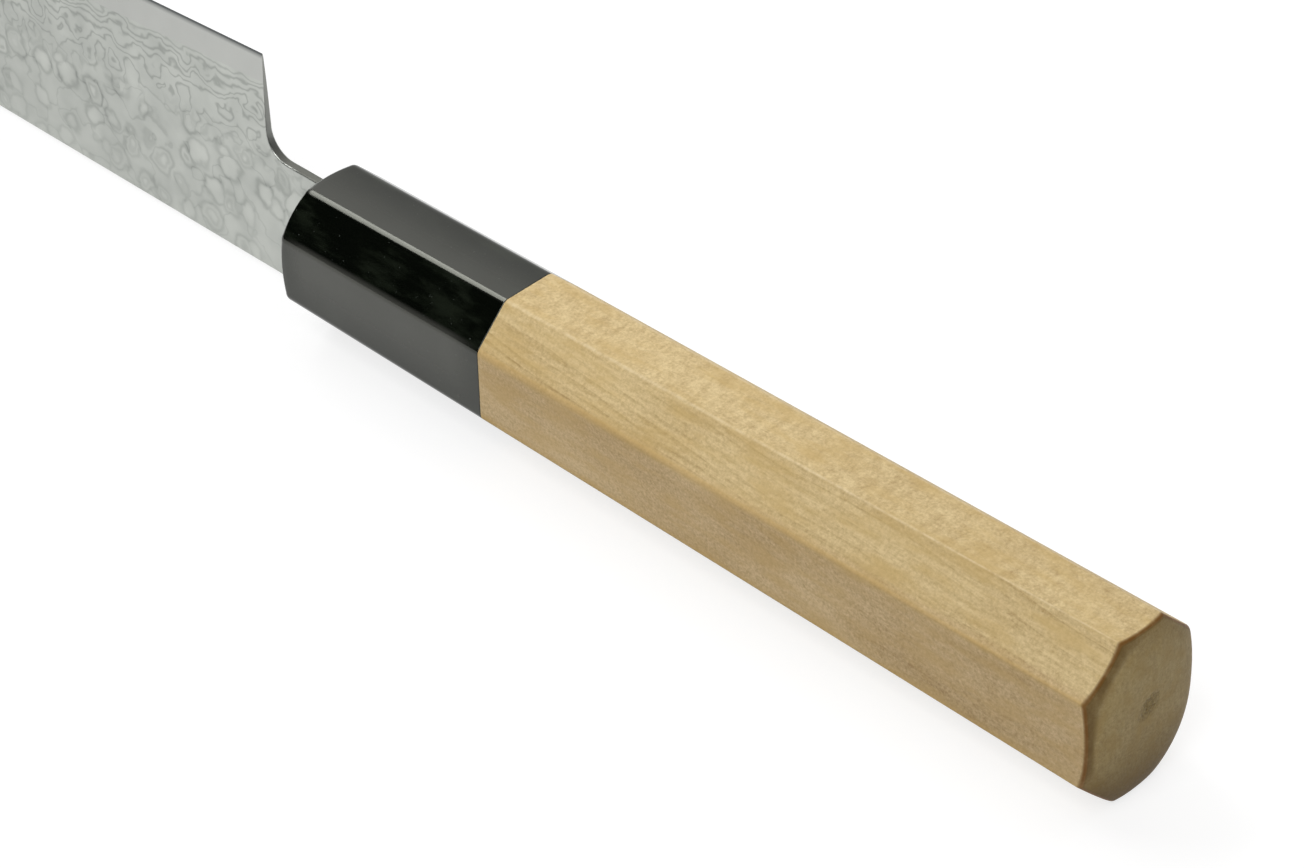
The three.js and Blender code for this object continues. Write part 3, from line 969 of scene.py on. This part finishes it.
def layerLines(f, place):
    # where the layers come to the surface: wavy lines above the core, close together where the grind is
    # steep, and on the flat above them round drops with an outline in a soft shade, some of them double and
    # some of the small ones with a dark heart
    x, y, z = f.split(place)
    side = y.maths("SIGN", y)
    flat = f.join(x + side * steel["sideShift"][0], z, side * steel["sideShift"][1])
    bend = f.noise(flat, steel["bend"][0], 2.0, 0.5, "Color")
    bent = f.vectors("ADD", flat, f.vectors("MULTIPLY", bend, (steel["bend"][1],) * 3))
    settings = {"voronoi_dimensions": "2D", "feature": "SMOOTH_F1"}
    sockets = {"Vector": bent, "Scale": 1 / steel["drop"], "Smoothness": 0.15, "Randomness": 0.9}
    cell = f.node("ShaderNodeTexVoronoi", settings, sockets, "Distance")
    chance, girth, dent = f.split(cell.sibling("Color"))
    depth = f.layer("depth")
    steep = 1 - f.ramp(depth, *steel["dropsFrom"])
    swirl = (f.noise(bent, steel["swirl"][0], 1.0, 0.5) - 0.5) * steel["swirl"][1]
    ripple = (f.noise(bent, steel["ripple"][0], 1.0, 0.5) - 0.5) * steel["ripple"][1]
    above = depth / -steel["steepness"]
    count = (1 - above.maths("EXPONENT", above)) * steel["layers"]
    dip = (1 - f.ramp(cell, 0.05, 0.55)) * (0.8 + chance * 0.8)
    field = count + swirl + ripple - dip
    turn = field * (2 * math.pi)
    sharp = depth * 2.6
    wave = (0.5 - turn.maths("COSINE", turn) * 0.5) ** (sharp.maths("EXPONENT", sharp) * 2.0)
    lines = wave * f.ramp(field, 0.0, 0.8) * steep
    least, more = steel["dropRadius"]
    radius = least + girth * more
    inside = 1 - f.ramp(cell - radius, -0.08, 0.02)
    soft, strength = steel["shade"]
    shade = f.bell(cell - radius, steel["outline"]) + f.bell(cell - radius, soft) * strength
    outline = shade * (0.45 + chance * 0.55)
    second = f.bell(cell - radius * steel["second"], steel["outline"]) * f.ramp(dent, 0.50, 0.60)
    scale, level, width = steel["wander"]
    between = f.bell(f.noise(bent, scale, 1.0, 0.5) - level, width) * (1 - inside)
    heart = (1 - f.ramp(cell, 0.04, 0.15)) * f.ramp(chance, 0.66, 0.74) * f.ramp(girth, 0.55, 0.35)
    rings = (outline + second * 0.8 + between * 0.7) * (1 - steep) + heart * f.ramp(depth, 0.25, 0.45)
    return lines, rings, inside * (1 - steep)


def steelFinish(name, plain):
    # finely grained along the blade, with the layers etched into it or, on the core, a bevel painted dark as
    # a painted reflection of the dark room
    material, f = startFinish(name)
    place = f.millimetres((heelX, 0, axisZ))
    x, _, z = f.split(place)
    graining = f.figure(place, steel["graining"], 3.0, 0.6) - 0.5
    cloud = f.noise(place, 0.22, 2.0, 0.5) - 0.5
    rough = steel["roughness"] + graining * 0.10
    height = graining * 0.10
    if plain:
        # painted reflection on the bevel
        bevel = f.layer("bevel")
        body = f.mix(bevel, steel["core"], steel["bevel"])
        rough = rough - bevel * 0.10
    else:
        lines, rings, inside = layerLines(f, place)
        fading = f.ramp(z, -10.0, 6.0, 0.55, 1.0)  # the drops are fainter toward the spine
        etched = lines * steel["lineDepth"] + rings * fading * steel["dropDepth"]
        share = 0.46 + inside * fading * 0.30 - lines * 0.15 + cloud * 1.1
        body = f.mix(etched, f.mix(share, steel["grey"], steel["bright"]), steel["etched"])
        rough = rough + etched * 0.08
        height = height - etched * 0.4
    colour = f.tint(body, f.ramp(x, -45.0, -5.0, 0.94, 0.99) + graining * 0.06 + cloud * 0.10)
    facing = abs(f.split(f.node("ShaderNodeNewGeometry", output="Normal"))[1])
    # the sawn border: a darker finish, with painted shade low on the neck and over the neck's glint
    sawn = f.layer("cut") * (1 - f.ramp(facing, 0.70, 0.95))
    f.surface({
        "Base Color": f.mix(sawn, colour, f.mix(f.ramp(z, 7.4, 10.5), steel["cut"], steel["cutHigh"])),
        "Metallic": 1.0,
        "Roughness": rough + sawn * 0.2,
        "Normal": f.relief(height, *steel["relief"]),
    })
    return material


# Bedding of the tang, inside the grip

resin = {
    "pale": (0.36, 0.27, 0.12, 1),
    "dark": (0.24, 0.17, 0.07, 1),
    "roughness": 0.45,
    "index": 1.52,
}


def resinFinish():
    material, f = startFinish("amber bedding resin")
    place = f.millimetres((tenonX, 0, axisZ))
    cloud = f.noise(place, 0.4, 3.0, 0.55)
    bubbles = f.ramp(f.noise(place, 2.2, 1.0, 0.4), 0.62, 0.70)
    f.surface({
        "Base Color": f.mix(cloud, resin["pale"], resin["dark"]),
        "Roughness": resin["roughness"] + bubbles * 0.2,
        "IOR": resin["index"],
    })
    return material


# Stage

stage = {
    "size": 6.0,
    "floor": (0.60, 0.60, 0.60, 1),
    "floorShade": (0.32, 0.32, 0.32, 1),  # what the camera and the gloss see of the floor's shading
    "floorGlow": 0.76,  # and what they see besides it
    "backdropFrom": (-0.42, 0.80, 0.43),
    "backdropEdge": (0.40, 0.80),  # where it begins and is full, as cosines from its middle
    "backdrop": 1.2,
    "dark": 0.02,
}
lamps = {
    "overhead strip": {"from": (-0.615, -0.04, 0.787), "away": 4.0, "size": (3.2, 1.0), "watts": 62.0},
    "front softbox": {"from": (0.15, -0.60, 0.79), "away": 3.0, "size": (1.6, 1.6), "watts": 49.0},
}


def seen(f):
    # 1 for what the camera, gloss and glass see, and 0 for light that spreads
    camera = f.node("ShaderNodeLightPath", output="Is Camera Ray")
    glossy = camera.sibling("Is Glossy Ray")
    through = camera.sibling("Is Transmission Ray")
    return camera.maths("MINIMUM", camera + glossy + through, 1.0)


def makeFloor():
    half = stage["size"] / 2
    corner = np.array([[-1, -1, 0], [1, -1, 0], [1, 1, 0], [-1, 1, 0]]) * half
    mesh = bpy.data.meshes.new("floor")
    mesh.from_pydata(corner.tolist(), [], [(0, 1, 2, 3)])
    floor = addObject("floor", mesh)
    material, f = startFinish("pale floor")
    plain = f.node("ShaderNodeBsdfDiffuse", {}, {"Color": stage["floor"]})
    shade = f.node("ShaderNodeBsdfDiffuse", {}, {"Color": stage["floorShade"]})
    glow = f.node("ShaderNodeEmission", {}, {"Strength": stage["floorGlow"]})
    white = f.node("ShaderNodeAddShader", {}, {"Shader": shade, "Shader_001": glow})
    shader = f.node("ShaderNodeMixShader", {}, {"Fac": seen(f), "Shader": plain, "Shader_001": white})
    f.end("ShaderNodeOutputMaterial", shader)
    mesh.materials.append(material)


def makeWorld():
    # white to the camera, and to light and reflections a bright backdrop behind the knife in a dark room
    world = bpy.data.worlds.new("studio")
    bpy.context.scene.world = world
    f = Finish(world)
    direction = f.node("ShaderNodeTexCoord", output="Generated")
    towards = tuple(Vector(stage["backdropFrom"]).normalized())
    facing = f.vectors("DOT_PRODUCT", direction, towards, "Value")
    room = f.ramp(facing, *stage["backdropEdge"], stage["dark"], stage["backdrop"])
    camera = f.node("ShaderNodeLightPath", output="Is Camera Ray")
    shader = f.node("ShaderNodeBackground", {}, {"Strength": room + camera * (1 - room)})
    f.end("ShaderNodeOutputWorld", shader)


def makeLamp(name, lamp):
    # a rectangle of light that faces the knife, its long side across the handle
    data = bpy.data.lights.new(name, "AREA")
    data.shape = "RECTANGLE"
    data.size, data.size_y = lamp["size"]
    data.energy = lamp["watts"]
    holder = addObject(name, data)
    away = Vector(lamp["from"]).normalized()
    across = Vector((0, 1, 0))
    wide = (across - away * across.dot(away)).normalized()
    turn = Matrix((wide, away.cross(wide), away)).transposed()
    holder.matrix_world = Matrix.Translation(away * lamp["away"]) @ turn.to_4x4()
    holder.visible_camera = False


view = {
    "aim": (19.75 * mm, 0, -1.5 * mm),  # from the joint of horn and wood, on the axis
    "azimuth": 45.21,
    "elevation": 38.18,
    "roll": 1.41,
    "distance": 512.1 * mm,
    "lens": 122.99,
    "sensor": 36,
    "nearest": 10 * mm,
}


def makeCamera():
    data = bpy.data.cameras.new("camera")
    data.lens = view["lens"]
    data.sensor_width = view["sensor"]
    data.sensor_fit = "HORIZONTAL"
    data.clip_start = view["nearest"]
    camera = addObject("camera", data)
    a, e, r = (math.radians(view[k]) for k in ("azimuth", "elevation", "roll"))
    back = Vector((math.sin(a) * math.cos(e), -math.cos(a) * math.cos(e), math.sin(e)))
    level = Vector((math.cos(a), math.sin(a), 0))
    up = back.cross(level) * math.cos(r) + level * math.sin(r)
    turn = Matrix((up.cross(back), up, back)).transposed()
    aim = Vector((jointX, 0, axisZ)) + Vector(view["aim"])
    camera.matrix_world = Matrix.Translation(aim + back * view["distance"]) @ turn.to_4x4()
    bpy.context.scene.camera = camera


makeCamera()
makeFloor()
makeWorld()
for lampName, lamp in lamps.items():
    makeLamp(lampName, lamp)
print("stage set")
makeFerrule()
makeGrip()
makeBlade()
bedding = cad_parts["tang_bedding"].data.materials
bedding.clear()
bedding.append(resinFinish())
print("knife dressed")

bpy.context.scene.view_settings.view_transform = "Standard"
